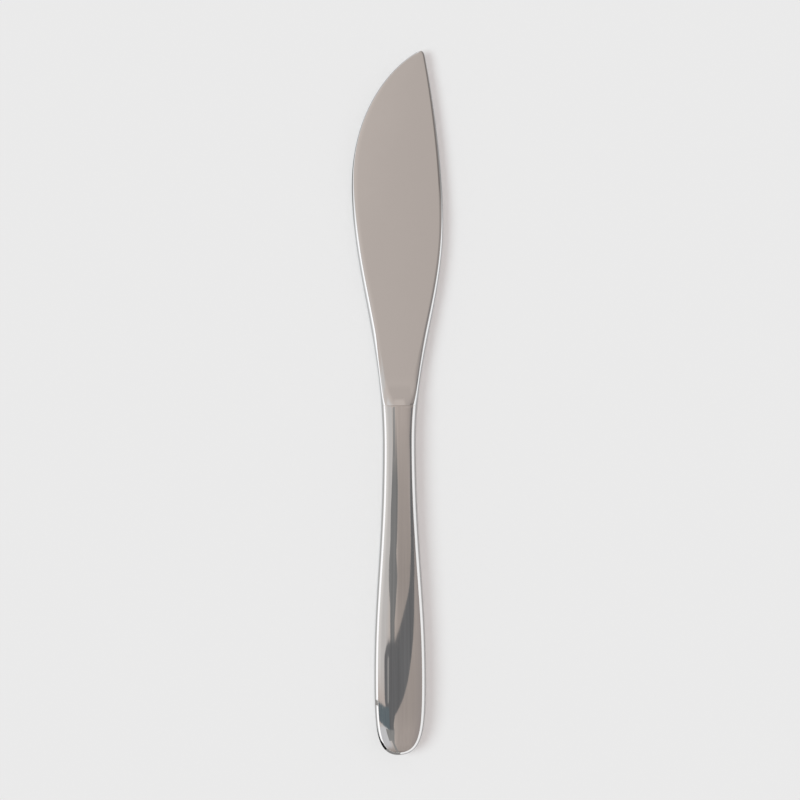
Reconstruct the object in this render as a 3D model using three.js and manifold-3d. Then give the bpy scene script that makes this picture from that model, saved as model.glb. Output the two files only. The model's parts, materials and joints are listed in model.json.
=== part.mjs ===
// A hollow-handled table knife, in millimetres, lying on its side as it lies on a table.
// A forged blade ends in a shoulder, a spigot and a tang. Two pressed half shells are brazed
// together round the handle's seam and onto the shoulder, and cement inside them grips the tang.
//
// Knife frame: y = 0 is the shoulder, +y runs to the tip and -y to the butt, x = 0 is the
// handle's axis with the spine on +x and the cutting edge on -x, and z = 0 is the seam's plane.

import * as THREE from "three";
import { mergeVertices } from "three/addons/utils/BufferGeometryUtils.js";
import Module from "manifold-3d";

const wasm = await Module();
wasm.setup();

// Blade outline, seen from above
const BLADE_LENGTH = 111.7; // shoulder to the corner where edge and spine would meet
const TIP_OFFSET = 7.95; // that corner's distance from the axis
const TIP_ROUNDING = 2.2; // length taken off each side of the corner
const EDGE_TIP_ANGLE = 59.5; // degrees between the axis and the edge as it meets the tip
const SPINE_TIP_ANGLE = 11; // degrees between the axis and the spine there
const EDGE_BELLY = 14.5; // the edge's furthest distance from the axis
const EDGE_BELLY_AT = 68.6; // that place's distance from the shoulder
const SPINE_BULGE = 13.95; // the spine's furthest distance from the axis
const SPINE_BULGE_AT = 57.5; // that place's distance from the shoulder

// Blade thickness and edges
const BLADE_ROOT_THICKNESS = 3.7; // where the flat begins
const BLADE_TIP_THICKNESS = 1; // at the tip's corner
const BOLSTER_LENGTH = 13; // the hollow ramp from the shoulder down to the flat
const NECK_ROUNDING = 2.6; // rounded sides at the foot of the bolster
const NECK_TO = 24; // where those sides have turned into bevels
const EDGE_BEVEL = 1.42; // sloping side of the edge at the root, narrowing as the blade thins
const SPINE_BEVEL = 1.6; // sloping side of the spine there
const GRIND_WIDTH = 14; // ground face beside the edge's bevel
const GRIND_FROM = 56; // where the flat starts to be ground down towards the edge
const GRIND_TO = 90; // where it is ground down fully
const EDGE_THICKNESS = 0.6; // left at the edge's bevel there
const GROUND_SHARE = 0.8; // of the width between the bevels that the ground face may take up

// Handle
const HANDLE_LENGTH = 109.3; // shoulder to butt
const HANDLE_WIDTH = 16;
const HANDLE_THICKNESS = 9.4;
const HANDLE_WIDEST_AT = 24.3; // from the butt
const BUTT_SKEW = 0.6; // how far the end of the butt lies off the axis, towards the edge
const BALANCE_AT = 4; // balance point, from the shoulder
const WAIST_WIDTH = 10.2;
const WAIST_AT = 11.8; // from the shoulder
const SHOULDER_THICKNESS = 8.7;

// Construction inside the handle
const WALL = 1; // pressed sheet of the half shells
const BRAZE = 0.3; // thickness of the brazed joints
const BRAZE_GAP = 0.1; // between a brazed joint and the steel on each side
const FIT_GAP = 0.3; // round the spigot, the cement and the tang
const SPIGOT_LENGTH = 3;
const TANG_LENGTH = 52; // behind the spigot
const TANG_WIDTH = 5.2;
const TANG_END_WIDTH = 3.2;
const TANG_THICKNESS = 3.2;
const NICK_COUNT = 3; // pairs of keying nicks in the tang's sides
const NICK_SPACING = 12;
const NICK_LENGTH = 4;
const NICK_DEPTH = 0.7;

// Fullness of the curves: length of an end's tangent as a share of the curve's run along y
const EDGE_FULLNESS = [0.402, 0.33]; // waist to belly
const SPINE_FULLNESS = [0.392, 0.352]; // waist to bulge
const HANDLE_FULLNESS = [0.351, 0.435]; // widest to waist
const THICKNESS_FULLNESS = [0.35, 0.45]; // thickest to shoulder
const EDGE_TIP_FULLNESS = [0.49, 0.3]; // belly to tip
const SPINE_TIP_FULLNESS = [0.3, 0.289]; // bulge to tip
const BUTT_FULLNESS = [0.94, 0.35]; // across the butt as a share of the half width, then along y

// Section shapes: the power of a rounded side, 1 for a straight bevel and 2 for an ellipse
const HANDLE_POWER = 2.05;
const NECK_POWER = 2;
const EDGE_POWER = 1.15;
const SPINE_POWER = 1.35;
const GRIND_POWER = 2; // by which the ground face falls away from the flat
const BOLSTER_POWER = 4; // by which the bolster's height falls away from the shoulder
const MOST_ROUNDING = 0.495; // the widest that one rounded side may be, as a share of the width

// Facets
const CURVE_STEPS = 120; // points read from each outline curve
const SIDE_STEPS = 6; // facets on a quarter of a section
const GRIND_STEPS = 3; // facets across the ground face
const SHELL_STATIONS = 30;
const CORE_STATIONS = 18;
const BOLSTER_STATIONS = 10;
const BLADE_STATIONS = 26;
const OVERLAP = 1; // how far pieces reach into each other before they are joined or cut
const SLOPE_STEP = 0.1; // to each side of the place where an outline's slope is read

const point = (x, y) => new THREE.Vector2(x, y);
const blendBetween = (a, b, share) => a + (b - a) * share;
const easeBetween = (from, to, y) => THREE.MathUtils.smoothstep(y, from, to);

// Outlines: each side is a row of points from the butt to the tip, with y always rising

// A curve that leaves and arrives parallel to the axis
function sweep(from, to, [leave, arrive]) {
  const run = to.y - from.y;
  return new THREE.CubicBezierCurve(
    from,
    point(from.x, from.y + leave * run),
    point(to.x, to.y - arrive * run),
    to,
  );
}

// A curve that leaves parallel to the axis and arrives at a slant, given as a unit vector
function sweepToTip(from, to, slant, [leave, arrive]) {
  const run = to.y - from.y;
  return new THREE.CubicBezierCurve(
    from,
    point(from.x, from.y + leave * run),
    to.clone().addScaledVector(slant, -arrive * run),
    to,
  );
}

// The round end of the handle, from the middle of the butt to its widest place
function buttCurve(half, skew) {
  const [across, along] = BUTT_FULLNESS;
  const end = -HANDLE_LENGTH;
  return new THREE.CubicBezierCurve(
    point(skew, end),
    point(blendBetween(skew, half, across), end),
    point(half, end + HANDLE_WIDEST_AT * along),
    point(half, end + HANDLE_WIDEST_AT),
  );
}

const pointsOf = (...curves) => curves.flatMap((curve) => curve.getPoints(CURVE_STEPS));

function outlines() {
  const corner = point(TIP_OFFSET, BLADE_LENGTH);
  const slantOf = (degrees) => {
    const angle = THREE.MathUtils.degToRad(degrees);
    return point(Math.sin(angle), Math.cos(angle));
  };
  const edgeSlant = slantOf(EDGE_TIP_ANGLE);
  const spineSlant = slantOf(-SPINE_TIP_ANGLE);
  const edgeEnd = corner.clone().addScaledVector(edgeSlant, -TIP_ROUNDING);
  const spineEnd = corner.clone().addScaledVector(spineSlant, -TIP_ROUNDING);

  const widestAt = -HANDLE_LENGTH + HANDLE_WIDEST_AT;
  const side = (sign, furthest, fullness, tipEnd, slant, tipFullness) => {
    const widest = point((sign * HANDLE_WIDTH) / 2, widestAt);
    const waist = point((sign * WAIST_WIDTH) / 2, -WAIST_AT);
    return pointsOf(
      buttCurve(widest.x, -BUTT_SKEW),
      sweep(widest, waist, HANDLE_FULLNESS),
      sweep(waist, furthest, fullness),
      sweepToTip(furthest, tipEnd, slant, tipFullness),
    );
  };
  const belly = point(-EDGE_BELLY, EDGE_BELLY_AT);
  const bulge = point(SPINE_BULGE, SPINE_BULGE_AT);
  const edge = side(-1, belly, EDGE_FULLNESS, edgeEnd, edgeSlant, EDGE_TIP_FULLNESS);
  const spine = side(1, bulge, SPINE_FULLNESS, spineEnd, spineSlant, SPINE_TIP_FULLNESS);

  // The rounded tip belongs to both sides, up to its top
  const tip = new THREE.QuadraticBezierCurve(edgeEnd, corner, spineEnd);
  const topShare = (corner.y - edgeEnd.y) / (2 * corner.y - edgeEnd.y - spineEnd.y);
  for (let i = 1; i <= CURVE_STEPS; i++) {
    const share = (i / CURVE_STEPS) * topShare;
    edge.push(tip.getPoint(share));
    spine.push(tip.getPoint(1 - (i / CURVE_STEPS) * (1 - topShare)));
  }

  const thickest = point(HANDLE_THICKNESS / 2, widestAt);
  const shoulder = point(SHOULDER_THICKNESS / 2, 0);
  const thickness = pointsOf(
    buttCurve(thickest.x, 0),
    sweep(thickest, shoulder, THICKNESS_FULLNESS),
  );
  thickness.push(point(shoulder.x, BOLSTER_LENGTH));
  return { edge, spine, thickness };
}

const OUTLINE = outlines();
const TIP = OUTLINE.edge.at(-1);

// The x of a row of points at a height y
function readAt(points, y) {
  let after = points.findIndex((p) => p.y >= y);
  if (after < 0) after = points.length - 1;
  const next = points[Math.max(after, 1)];
  const last = points[Math.max(after, 1) - 1];
  const rise = next.y - last.y;
  return rise > 0 ? blendBetween(last.x, next.x, (y - last.y) / rise) : next.x;
}

// The same row of points moved sideways, to the right of its direction of travel
function moveSideways(points, distance) {
  return points.map((p, i) => {
    const along = points[Math.min(i + 1, points.length - 1)]
      .clone()
      .sub(points[Math.max(i - 1, 0)])
      .normalize();
    return point(p.x + along.y * distance, p.y - along.x * distance);
  });
}

// Sections and lofts

// A rounded side from its outline inwards: how far in and how high each point lies, as shares
function roundedSide(power) {
  return Array.from({ length: SIDE_STEPS + 1 }, (_, i) => {
    const turn = (i / SIDE_STEPS) * (Math.PI / 2);
    const inward = 1 - Math.max(Math.cos(turn), 0) ** (2 / power);
    const upward = Math.sin(turn) ** (2 / power);
    return { inward, upward };
  });
}

// One closed section across the knife: two rounded sides joined by flats, alike above and below.
// A left side with a rim is ground down: its rounded part has that share of the full height, and
// a ground face rises from there to the flat.
function crossSection(y, left, right, half) {
  const most = MOST_ROUNDING * (right.x - left.x);
  const rowOf = ({ x, round, power, rim = 1 }, sign) => {
    const width = Math.min(round, most);
    return roundedSide(power).map(
      ({ inward, upward }) => new THREE.Vector3(x + sign * inward * width, y, half * rim * upward),
    );
  };
  const groundRow = (edge) => {
    const free = right.x - left.x - Math.min(left.round, most) - Math.min(right.round, most);
    const width = Math.min(GRIND_WIDTH, GROUND_SHARE * free);
    return Array.from({ length: GRIND_STEPS }, (_, i) => {
      const share = (i + 1) / GRIND_STEPS;
      const height = 1 - (1 - left.rim) * (1 - share) ** GRIND_POWER;
      return new THREE.Vector3(edge.x + share * width, y, half * height);
    });
  };
  const leftRow = rowOf(left, 1);
  const ground = left.rim === undefined ? [] : groundRow(leftRow.at(-1));
  const top = [...leftRow, ...ground, ...rowOf(right, -1).reverse()];
  const under = top.slice(1, -1).reverse();
  return [...top, ...under.map((p) => new THREE.Vector3(p.x, y, -p.z))];
}

// A closed skin over sections in order of rising y, drawn together to one point at each end
function loft(sections, start, end) {
  const count = sections[0].length;
  const vertices = [...sections.flat(), start, end];
  const startAt = vertices.length - 2;
  const endAt = vertices.length - 1;
  const lastRow = (sections.length - 1) * count;
  const faces = [];
  for (let i = 0; i < count; i++) {
    const j = (i + 1) % count;
    faces.push(startAt, j, i);
    faces.push(endAt, lastRow + i, lastRow + j);
    for (let row = 0; row < lastRow; row += count) {
      faces.push(row + i, row + j, row + count + i);
      faces.push(row + j, row + count + j, row + count + i);
    }
  }
  const geometry = new THREE.BufferGeometry().setFromPoints(vertices);
  geometry.setIndex(faces);
  return geometry;
}

const middleOf = (section) =>
  section.reduce((sum, p) => sum.add(p), new THREE.Vector3()).divideScalar(section.length);

// Solids for cutting and joining

function solidOf(geometry) {
  const bare = geometry.clone();
  bare.deleteAttribute("normal");
  bare.deleteAttribute("uv");
  const merged = mergeVertices(bare);
  return new wasm.Manifold(
    new wasm.Mesh({
      numProp: 3,
      vertProperties: merged.attributes.position.array,
      triVerts: new Uint32Array(merged.index.array),
    }),
  );
}

function geometryOf(solid) {
  const { vertProperties, triVerts } = solid.getMesh();
  const geometry = new THREE.BufferGeometry();
  geometry.setAttribute("position", new THREE.BufferAttribute(vertProperties, 3));
  geometry.setIndex(new THREE.BufferAttribute(triVerts, 1));
  geometry.computeVertexNormals();
  return geometry;
}

// A block wider and longer than the handle, between two heights above the seam's plane
function slabBetween(low, high) {
  const slab = new THREE.BoxGeometry(2 * HANDLE_WIDTH, 3 * HANDLE_LENGTH, high - low);
  return solidOf(slab.translate(0, 0, (low + high) / 2));
}

// Handle

// The handle's outer form drawn in by a distance, from the butt or from y = back, to y = front
function handleForm(drawnIn, front, stations, back) {
  const edge = moveSideways(OUTLINE.edge, drawnIn);
  const spine = moveSideways(OUTLINE.spine, -drawnIn);
  const thickness = moveSideways(OUTLINE.thickness, -drawnIn);
  const sectionAt = (y) => {
    const left = { x: readAt(edge, y), round: Infinity, power: HANDLE_POWER };
    const right = { x: readAt(spine, y), round: Infinity, power: HANDLE_POWER };
    return crossSection(y, left, right, readAt(thickness, y));
  };
  const butt = -HANDLE_LENGTH + drawnIn;
  const fromButt = back === undefined;
  const first = fromButt ? butt : back;
  const sections = [];
  for (let i = fromButt ? 1 : 0; i <= stations; i++) {
    const share = fromButt ? 1 - Math.cos((i / stations) * (Math.PI / 2)) : i / stations;
    sections.push(sectionAt(blendBetween(first, front, share)));
  }
  const start = fromButt ? new THREE.Vector3(-BUTT_SKEW, butt, 0) : middleOf(sections[0]);
  return solidOf(loft(sections, start, middleOf(sections.at(-1))));
}

const BRAZE_FRONT = -BRAZE_GAP; // the shoulder's joint lies between these two
const BRAZE_BACK = BRAZE_FRONT - BRAZE;
const MOUTH = BRAZE_BACK - BRAZE_GAP; // the shells' open end
const SEAM_HALF = BRAZE / 2 + BRAZE_GAP; // from the seam's plane to a shell's rim

const handleTube = handleForm(0, MOUTH, SHELL_STATIONS).subtract(
  handleForm(WALL, MOUTH + OVERLAP, SHELL_STATIONS),
);

function shoulderBraze() {
  const disc = handleForm(0, BRAZE_FRONT, 1, BRAZE_BACK);
  const hole = handleForm(WALL, BRAZE_FRONT + OVERLAP, 1, BRAZE_BACK - OVERLAP);
  return disc.subtract(hole);
}

function handleFiller() {
  const front = -SPIGOT_LENGTH - FIT_GAP;
  return handleForm(WALL + FIT_GAP, front, CORE_STATIONS).subtract(tang(FIT_GAP));
}

// Blade

// The tapering tang with keying nicks in its sides, or the pocket that it leaves in the cement
function tang(grown) {
  const end = -SPIGOT_LENGTH - TANG_LENGTH;
  const halfAt = (y) => blendBetween(TANG_END_WIDTH, TANG_WIDTH, (y - end) / TANG_LENGTH) / 2 + grown;
  const side = [point(halfAt(end), end - grown)];
  for (let i = NICK_COUNT; i >= 1; i--) {
    const nickAt = -SPIGOT_LENGTH - i * NICK_SPACING;
    const low = nickAt - NICK_LENGTH / 2 + grown;
    const high = nickAt + NICK_LENGTH / 2 - grown;
    const middle = (low + high) / 2;
    side.push(point(halfAt(low), low), point(halfAt(middle) - NICK_DEPTH, middle), point(halfAt(high), high));
  }
  side.push(point(halfAt(OVERLAP), OVERLAP));
  const outline = new THREE.Shape([...side, ...side.map((p) => point(-p.x, p.y)).reverse()]);
  const depth = TANG_THICKNESS + 2 * grown;
  const bar = new THREE.ExtrudeGeometry(outline, { depth, bevelEnabled: false });
  return solidOf(bar.translate(0, 0, -depth / 2));
}

// How far the bolster has fallen away at y: 0 at the shoulder and 1 at its foot
const bolsterFall = (y) => 1 - Math.max(1 - y / BOLSTER_LENGTH, 0) ** BOLSTER_POWER;

// Half the thickness between the flats: an even taper from root to tip, so that each is one plane
function flatHalf(y) {
  const share = (y - BOLSTER_LENGTH) / (BLADE_LENGTH - BOLSTER_LENGTH);
  return blendBetween(BLADE_ROOT_THICKNESS, BLADE_TIP_THICKNESS, share) / 2;
}

// Half the blade's thickness, with the bolster standing on its flats
const bladeHalf = (y) => blendBetween(SHOULDER_THICKNESS / 2, flatHalf(y), bolsterFall(y));

// A side of the blade at y: the handle's round side at the shoulder, the neck's rounding past the
// bolster and then a bevel
function bladeSide(points, y, bevel, bevelPower) {
  const rise = readAt(points, y + SLOPE_STEP) - readAt(points, y - SLOPE_STEP);
  const slope = rise / (2 * SLOPE_STEP);
  const half = (readAt(OUTLINE.spine, y) - readAt(OUTLINE.edge, y)) / 2;
  const fall = bolsterFall(y);
  const pastNeck = easeBetween(0, NECK_TO, y);
  const width = blendBetween(NECK_ROUNDING, bevel, pastNeck) * Math.hypot(1, slope);
  return {
    x: readAt(points, y),
    round: blendBetween(half, width, fall),
    power: blendBetween(HANDLE_POWER, blendBetween(NECK_POWER, bevelPower, pastNeck), fall),
  };
}

function bladeSection(y) {
  const half = bladeHalf(y);
  const rim = blendBetween(1, EDGE_THICKNESS / 2 / half, easeBetween(GRIND_FROM, GRIND_TO, y));
  const thinned = flatHalf(y) / (BLADE_ROOT_THICKNESS / 2);
  const left = { ...bladeSide(OUTLINE.edge, y, EDGE_BEVEL * thinned * rim, EDGE_POWER), rim };
  const right = bladeSide(OUTLINE.spine, y, SPINE_BEVEL * Math.sqrt(thinned), SPINE_POWER);
  return crossSection(y, left, right, half);
}

// Distances from the shoulder, crowding towards it over the bolster and then towards the tip
function bladeStations() {
  const stations = [];
  for (let i = 0; i < BOLSTER_STATIONS; i++) {
    const share = 1 - Math.cos((i / BOLSTER_STATIONS) * (Math.PI / 2));
    stations.push(share * BOLSTER_LENGTH);
  }
  for (let i = 0; i < BLADE_STATIONS; i++) {
    const share = Math.sin((i / BLADE_STATIONS) * (Math.PI / 2));
    stations.push(blendBetween(BOLSTER_LENGTH, TIP.y, share));
  }
  return stations;
}

function blade() {
  const sections = bladeStations().map(bladeSection);
  const tip = new THREE.Vector3(TIP.x, TIP.y, 0);
  const leaf = solidOf(loft(sections, middleOf(sections[0]), tip));
  const spigot = handleForm(WALL + FIT_GAP, OVERLAP, 1, -SPIGOT_LENGTH);
  return leaf.add(spigot).add(tang(0));
}

// Assembly

const satinSteel = new THREE.MeshStandardMaterial({ color: 0xb8b0aa, metalness: 1, roughness: 0.3 });
const polishedSteel = new THREE.MeshStandardMaterial({ color: 0xc4c1be, metalness: 1, roughness: 0.12 });
const brazeMetal = new THREE.MeshStandardMaterial({ color: 0xa69a86, metalness: 1, roughness: 0.4 });
const cement = new THREE.MeshStandardMaterial({ color: 0x8d877c, metalness: 0, roughness: 0.95 });

function piece(name, solid, material) {
  const mesh = new THREE.Mesh(geometryOf(solid), material);
  mesh.name = name;
  return mesh;
}

const knife = new THREE.Group();
const reach = HANDLE_THICKNESS;
knife.add(
  piece("blade", blade(), satinSteel),
  piece("handle_shell_front", handleTube.intersect(slabBetween(SEAM_HALF, reach)), polishedSteel),
  piece("handle_shell_back", handleTube.intersect(slabBetween(-reach, -SEAM_HALF)), polishedSteel),
  piece("seam_braze", handleTube.intersect(slabBetween(-BRAZE / 2, BRAZE / 2)), brazeMetal),
  piece("shoulder_braze", shoulderBraze(), brazeMetal),
  piece("handle_filler", handleFiller(), cement),
);

// How far the knife leans at rest. It lies on two places under it, one on each side of its
// balance point, and their joining line passes lower under that point than any other does.
function restingLean() {
  const under = (y) => point(y, -(y < 0 ? readAt(OUTLINE.thickness, y) : bladeHalf(y)));
  const placesBetween = (from, to) =>
    Array.from({ length: CURVE_STEPS }, (_, i) => under(blendBetween(from, to, (i + 0.5) / CURVE_STEPS)));
  let lowest = { height: Infinity, lean: 0 };
  for (const back of placesBetween(-HANDLE_LENGTH, -BALANCE_AT)) {
    for (const front of placesBetween(-BALANCE_AT, TIP.y)) {
      const slope = (front.y - back.y) / (front.x - back.x);
      const height = back.y - (back.x + BALANCE_AT) * slope;
      if (height < lowest.height) lowest = { height, lean: Math.atan(slope) };
    }
  }
  return lowest.lean;
}
knife.rotation.x = -restingLean();

// The part's origin is the middle of its footprint, on the surface that it lies on
const tableKnife = new THREE.Group();
tableKnife.add(knife);
tableKnife.updateMatrixWorld(true);
const box = new THREE.Box3().setFromObject(knife, true);
const middle = box.getCenter(new THREE.Vector3());
knife.position.set(-middle.x, -middle.y, -box.min.z);

export default tableKnife;
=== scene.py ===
"""Dresses a packed table knife: satin blade, mirror-polished hollow handle, brazed joints and the stage.

Lengths are in metres, but the defaults of length settings and the corners of flags are in
millimetres. The knife's own frame has its shoulder, where blade and handle meet, at y = 0, the
tip on +y, the spine on +x, the cutting edge on -x and the plane of the handle's seam at z = 0.
"""

import json

import bmesh
import bpy
import numpy as np
from bpy.props import FloatProperty, FloatVectorProperty, PointerProperty
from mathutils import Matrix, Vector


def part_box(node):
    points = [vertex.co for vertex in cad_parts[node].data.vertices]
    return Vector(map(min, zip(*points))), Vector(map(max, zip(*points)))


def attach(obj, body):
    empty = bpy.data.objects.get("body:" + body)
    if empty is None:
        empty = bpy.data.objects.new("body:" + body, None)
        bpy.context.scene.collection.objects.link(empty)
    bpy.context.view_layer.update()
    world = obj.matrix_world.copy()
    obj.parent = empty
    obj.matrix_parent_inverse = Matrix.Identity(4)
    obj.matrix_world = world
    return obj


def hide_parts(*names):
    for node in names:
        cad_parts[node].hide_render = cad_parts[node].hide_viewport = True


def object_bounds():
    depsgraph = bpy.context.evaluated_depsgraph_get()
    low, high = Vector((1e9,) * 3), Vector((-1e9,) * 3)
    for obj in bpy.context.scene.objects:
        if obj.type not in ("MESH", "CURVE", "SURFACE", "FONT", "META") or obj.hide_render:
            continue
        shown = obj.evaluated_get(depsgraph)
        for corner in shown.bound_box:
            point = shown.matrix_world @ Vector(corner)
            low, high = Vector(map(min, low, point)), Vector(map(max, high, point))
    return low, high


bl_info = {
    "name": "Table knife",
    "version": (1, 0, 0),
    "blender": (4, 5, 0),
    "location": "View3D > Sidebar > Knife",
    "description": "Builds the visible surfaces of a hollow-handled table knife over its solids",
    "category": "Mesh",
}

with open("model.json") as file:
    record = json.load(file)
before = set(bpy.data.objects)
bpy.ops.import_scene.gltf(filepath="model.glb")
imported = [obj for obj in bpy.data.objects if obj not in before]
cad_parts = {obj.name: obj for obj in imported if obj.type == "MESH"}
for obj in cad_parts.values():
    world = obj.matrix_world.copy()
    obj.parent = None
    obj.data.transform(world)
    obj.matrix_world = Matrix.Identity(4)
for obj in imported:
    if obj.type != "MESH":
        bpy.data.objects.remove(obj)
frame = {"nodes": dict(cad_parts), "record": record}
CAD_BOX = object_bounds()
MILLIMETRE = 0.001

# Fullness of the outline curves: an end's tangent as a share of the curve's run along y
EDGE_FULLNESS = (0.402, 0.33)
SPINE_FULLNESS = (0.392, 0.352)
HANDLE_FULLNESS = (0.351, 0.435)
THICKNESS_FULLNESS = (0.35, 0.45)
EDGE_TIP_FULLNESS = (0.49, 0.3)
SPINE_TIP_FULLNESS = (0.3, 0.289)
BUTT_FULLNESS = (0.94, 0.35)

# Section shapes: the power of a rounded side, 1 for a straight bevel and 2 for an ellipse
HANDLE_POWER = 2.05
EDGE_POWER = 1.15
SPINE_POWER = 1.35
NECK_POWER = 2.0
TANG_POWER = 2.0
GRIND_POWER = 2.0  # of the ground face's fall from the flat
BOLSTER_POWER = 4.0  # of the bolster's fall from the shoulder
MOST_ROUNDING = 0.4999  # of the width that one rounded side may take up
GROUND_SHARE = 0.8  # of the width between the bevels that may be ground

# Construction
NICK_COUNT = 3
TANG_CORNER = 0.3 * MILLIMETRE
JOINT_MIDDLE = 0.25 * MILLIMETRE  # from the shoulder back to the middle of the solids' brazed joint
SHELLS = (("shell_upper", "handle_shell_front", 1), ("shell_lower", "handle_shell_back", -1))

# Mesh resolution
CURVE_STEPS = 400
SIDE_STEPS = 16
FLAT_STEPS = 10
GROUND_STEPS = 10
BOLSTER_ROWS = 60
BLADE_ROWS = 200
HANDLE_ROWS = 200
HANDLE_ARC = 72
FILLET_ROWS = 6
SLOPE_STEP = 0.1 * MILLIMETRE  # to each side of where a slope is read
MERGE_DISTANCE = 2e-7
SHARP_ANGLE = np.radians(40.0)  # sharper corners aren't shaded smooth

# Patterns in the finishes: cells in a metre, all ways or along x, y and z
GROUND_LINES = (60, 5200, 60)
STEEL_CLOUDS = 55
STREAKS = (1500, 22, 1500)
SMUDGES = 90
BRAZE_PITS = 4000
CEMENT_SAND = 2600
CEMENT_CLOUDS = 160
PAPER_FIBRE = 900
FLAG_FOLDS = (60, 14, 1)

# Hairlines on the handle: cells in a metre, turn about z, and the noise where a line starts and is full
HAIRLINES = (
    ((2600, 45, 2600), 0.06, (0.70, 0.76)),
    ((2300, 60, 2300), -0.4, (0.73, 0.79)),
)

# Depth of the patterns
LINE_DEPTH = 0.006 * MILLIMETRE
STREAK_DEPTH = 0.003 * MILLIMETRE
PIT_DEPTH = 0.01 * MILLIMETRE
SAND_DEPTH = 0.1 * MILLIMETRE

# Blade steel: a normal's upright part where the rims start and are full, and the x over which painted
# shade darkens the steel towards the spine
RIM_STEEPNESS = (0.97, 0.85)
BLADE_PAINTED_SHADE_SPAN = (-0.016, 0.016)

# What the steel's reflections see of the floor: where its painted shade and painted sheen change, across
# and along the knife
BEYOND_EDGE = (0.01, -0.01)
PAST_SHOULDER = (-0.01, 0.01)
PAST_WIDEST = (0.048, 0.073)

# The floor's painted sheen, a glow that only the steel's reflections see: how low a look it needs,
# how much lower beyond the edge and past the shoulder, and its share on each side before and past
# the blade's widest place
SHEEN_LOOK = (0.35, 0.58)
SHEEN_EDGE_DELAY = 0.13
SHEEN_BLADE_DELAY = 0.15
SPINE_SHEEN = (0.62, 0.1)
EDGE_SHEEN = (1.0, 0.5)

# Painted shade that only the steel's reflections see: shares of the floor's colour beneath the steel
PAINTED_SHADE_BENEATH = 0.7
PAINTED_SHADE_EDGE = 0.85
PAINTED_SHADE_SPINE_TIP = 0.45
PAINTED_SHADE_EDGE_TIP = 0.25

# The room that the steel mirrors: where each tone starts and is full, as the y of a direction or its
# angle across the knife, and its share of one of the stage's colours
CEILING_BEHIND = 0.79
CEILING_ALONG = (
    (-0.08, 0.0, "ceiling", 1.0),
    (-0.12, -0.3, "ceiling", 0.86),
    (0.05, 0.1, "ceiling", 0.97),
    (0.12, 0.15, "ceiling", 1.02),
    (0.2, 0.33, "ceiling", 0.94),
    (0.7, 0.85, "ceiling", 1.18),
)
CEILING_ACROSS = ((0.0, -0.6, "ceiling", 1.14),)
WINDOW_ACROSS = ((-1.0, -1.5, "window", 1.3),)
WINDOW_ALONG = (
    (0.3, 0.46, "window", 1.17),
    (-0.06, -0.11, "ceiling", 1.13),
    (-0.2, -0.28, "gleam", 1.06),
)
WALL_ACROSS = ((0.5, 1.5, "wall", 1.0),)
ROOM_BEHIND = (
    (-0.58, -0.9, "ceiling", 0.81),
    (-0.9, -1.0, "ceiling", 0.57),
)

# The window's place across the room, and its warmer stretch that the bolster's neck mirrors
WINDOW_SPAN = (-0.3, -0.85)
NECK_SPAN = (0.03, 0.15)
NECK_TONE = 1.2
NECK_SHARE = 0.7
NECK_TURN = 0.2

# Flags that the steel mirrors, glowing cards that paint reflections: shade, height, layers above it and
# corners in millimetres
OVER_HANDLE = 0.1
NEAR_FLOOR = 0.0004
FLAG_SPACING = 0.0002
FLAGS = {
    "flag_stand": ("flag_pale", OVER_HANDLE, 0, (
        (-105, -140), (-26, -128), (-33, -167), (-25, -210), (-18, -331), (0, -1900),
        (-195, -2000), (-43, -262), (-45, -188), (-52, -164), (-76, -172), (-86, -156),
    )),
    "flag_cord": ("flag_faint", OVER_HANDLE, -1, (
        (-52, 8), (-34, 8), (-38, -7), (-39, -17), (-67, -17), (-64, -7),
    )),
    "flag_panel": ("flag_grey", OVER_HANDLE, -2, (
        (-67, -4), (-21, -4), (-12, -28), (-14, -41), (-20, -49), (-11, -57), (-17, -64), (-24, -73),
        (-22, -80), (-47, -80), (-55, -67), (-78, -58), (-89, -51), (-83, -44), (-95, -34), (-83, -24),
        (-71, -15),
    )),
    "flag_curtain": ("flag_dark", OVER_HANDLE, -3, (
        (-103, -87), (-78, -82), (-62, -80), (-24, -80), (-4, -76), (13, -71), (29, -67), (63, -60),
        (92, -52), (127, -45), (178, -33), (242, -24), (300, -16), (191, -12), (186, -10), (2500, -10),
        (2500, -18), (700, -36), (317, -44), (170, -56), (123, -65), (76, -80), (42, -92), (18, -100),
        (-9, -109), (-22, -113), (-28, -121), (-30, -131), (-64, -133), (-86, -111), (-100, -107),
    )),
    "flag_wing": ("flag_fawn", OVER_HANDLE, -3, (
        (186, -10), (170, 20), (170, 94), (2500, 290), (2500, -10),
    )),
    "flag_wingtip": ("flag_warm", OVER_HANDLE, -3, (
        (170, 94), (170, 400), (2500, 400), (2500, 290),
    )),
    "flag_arm": ("flag_cool", OVER_HANDLE, -4, (
        (-54, -133), (-86, -135), (-179, -147), (-509, -209), (-2500, -620), (-2500, -400),
        (-600, -165), (-179, -118), (-88, -111), (-54, -109),
    )),
    "flag_slit": ("flag_faint", OVER_HANDLE, -5, (
        (-66, -86), (-55, -86), (-56, -106), (-67, -107),
    )),
    # near the floor: dark sheets that paint shade on the floor into the steel's reflections
    "flag_shade": ("flag_pale", NEAR_FLOOR, 0, (
        (-10, -113.5), (0.5, -110.5), (0.8, -123.6), (4, -168), (30, -500), (-300, -500), (-60, -140),
        (-26, -119),
    )),
    "flag_notch": ("flag_faint", NEAR_FLOOR, 0, (
        (-12, -93.4), (-300, -127), (-300, -133), (-12, -95.2),
    )),
    "flag_foot": ("flag_black", NEAR_FLOOR, 1, (
        (-7.2, -100), (-10.4, -103), (-12.4, -105.6), (-15.5, -108.5), (-18, -111.2), (-60, -142),
        (-42, -152), (-6.8, -111.5), (-4, -108.6), (-4, -104),
    )),
}

# Flags that fade in along y, from clear to full
FLAG_FADES = {"flag_panel": (0.0, -0.026)}

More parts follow.
